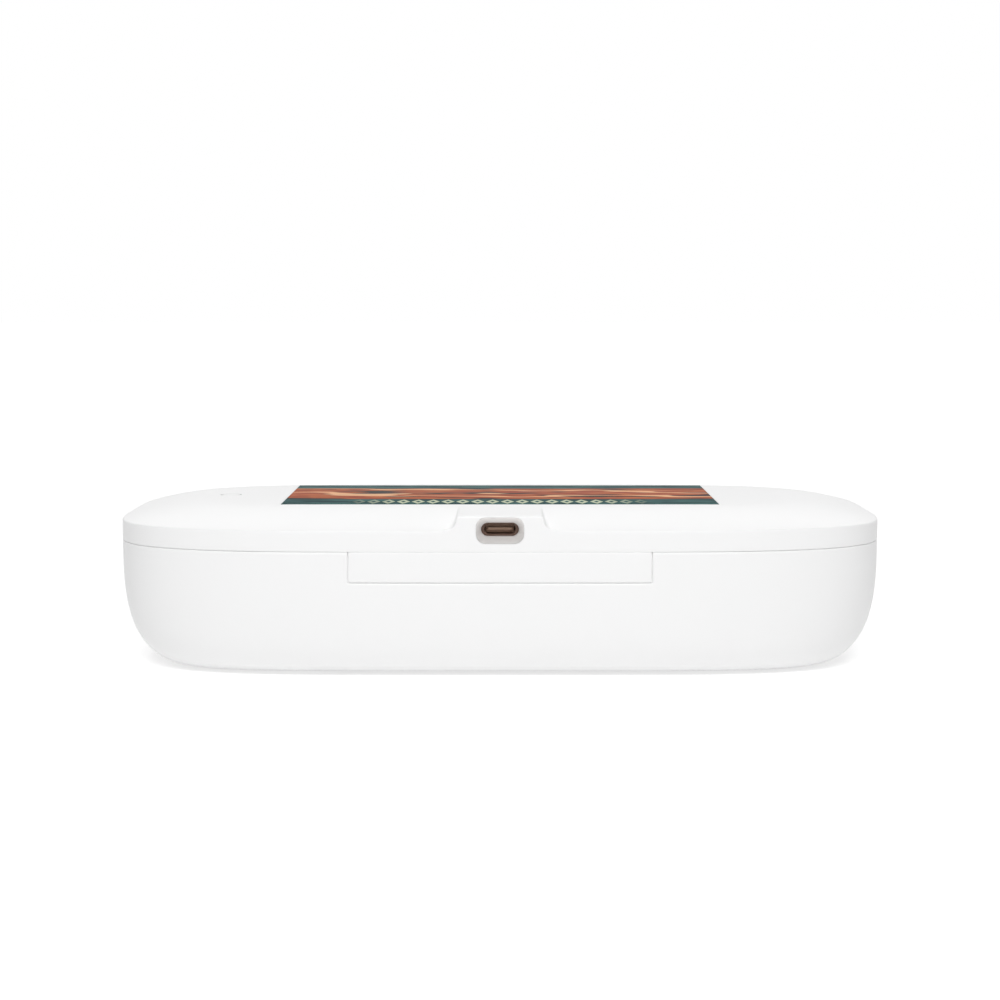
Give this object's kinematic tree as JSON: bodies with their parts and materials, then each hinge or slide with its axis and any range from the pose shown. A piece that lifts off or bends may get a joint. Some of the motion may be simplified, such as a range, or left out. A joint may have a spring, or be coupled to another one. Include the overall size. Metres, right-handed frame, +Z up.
{
  "type": "uv sanitizer box for phones",
  "caption": "Low rounded box with a rear-hinged lid over a lined phone chamber, a flush push button, a USB-C socket and a flat charging top.",
  "frame": {"origin": "on the table under the middle of the closed box", "axes": "+X to the right seen from the front, +Y to the rear with the hinge and the socket, +Z up"},
  "size_m": [0.214, 0.117, 0.045],
  "materials": {
    "casing": "smooth white satin-gloss moulded plastic",
    "liner": "fine matte white moulded plastic",
    "reflector": "polished aluminium sheet",
    "clear_rest": "clear moulded ribs",
    "steel": "bright nickel plated steel",
    "magnet": "nickel plated magnet",
    "foot_rubber": "matte dark grey rubber",
    "hinge_steel": "zinc plated steel",
    "print": "printed panel under clear gloss lacquer",
    "bezel": "light grey soft-touch plastic",
    "copper": "enamelled copper winding",
    "ferrite": "dark grey sintered ferrite",
    "lamp_board": "white coated aluminium board",
    "lamp": "ceramic lamp package",
    "quartz": "clear quartz",
    "board": "green solder-masked board",
    "chip": "black moulded package",
    "capacitor": "aluminium can",
    "connector": "ivory nylon connector",
    "socket_shell": "dark brown plated steel",
    "socket_core": "dark brown moulded insulator",
    "contact": "gold plated contacts",
    "wire": "silicone insulated wire",
    "plunger": "moulded switch plunger"
  },
  "bodies": {
    "base": {"base_shell": "casing", "inner_tray": "liner", "tray_reflector": "reflector", "phone_rests": "clear_rest", "base_screws": "steel", "base_magnets": "magnet", "foot_front_left": "foot_rubber", "foot_front_right": "foot_rubber", "foot_rear_left": "foot_rubber", "foot_rear_right": "foot_rubber", "hinge_bracket": "hinge_steel", "hinge_pin": "steel", "hinge_cover": "casing", "bracket_screws": "steel"},
    "lid": {"hinge_arm_left": "hinge_steel", "hinge_arm_right": "hinge_steel", "arm_screws": "steel", "lid_cover": "casing", "print_panel": "print", "port_bezel": "bezel", "lid_liner": "liner", "liner_screws": "steel", "lid_reflector": "reflector", "lid_magnets": "magnet", "charging_coil": "copper", "ferrite_plate": "ferrite", "uv_board_left": "lamp_board", "uv_board_right": "lamp_board", "uv_leds": "lamp", "uv_window_left": "quartz", "uv_window_right": "quartz", "board_screws": "steel", "main_board": "board", "driver_chips": "chip", "capacitors": "capacitor", "power_inductors": "ferrite", "wire_connectors": "connector", "usb_c_shell": "socket_shell", "usb_c_tongue": "socket_core", "usb_c_contacts": "contact", "key_board": "board", "tact_switch": "chip", "lid_sensor": "chip", "coil_leads": "wire", "uv_leads": "wire", "key_leads": "wire"},
    "button": {"power_button": "casing", "switch_plunger": "plunger"}
  },
  "joints": [
    {"name": "lid_hinge", "type": "hinge", "parent": "base", "child": "lid", "pos_m": [0, 0.0545, 0.0306], "axis": [-1, 0, 0], "range_deg": [0, 90]},
    {"name": "button_press", "type": "slide", "parent": "lid", "child": "button", "axis": [0, 0, -1], "range_m": [0, 0.0006], "stiffness_N_per_m": 800}
  ]
}
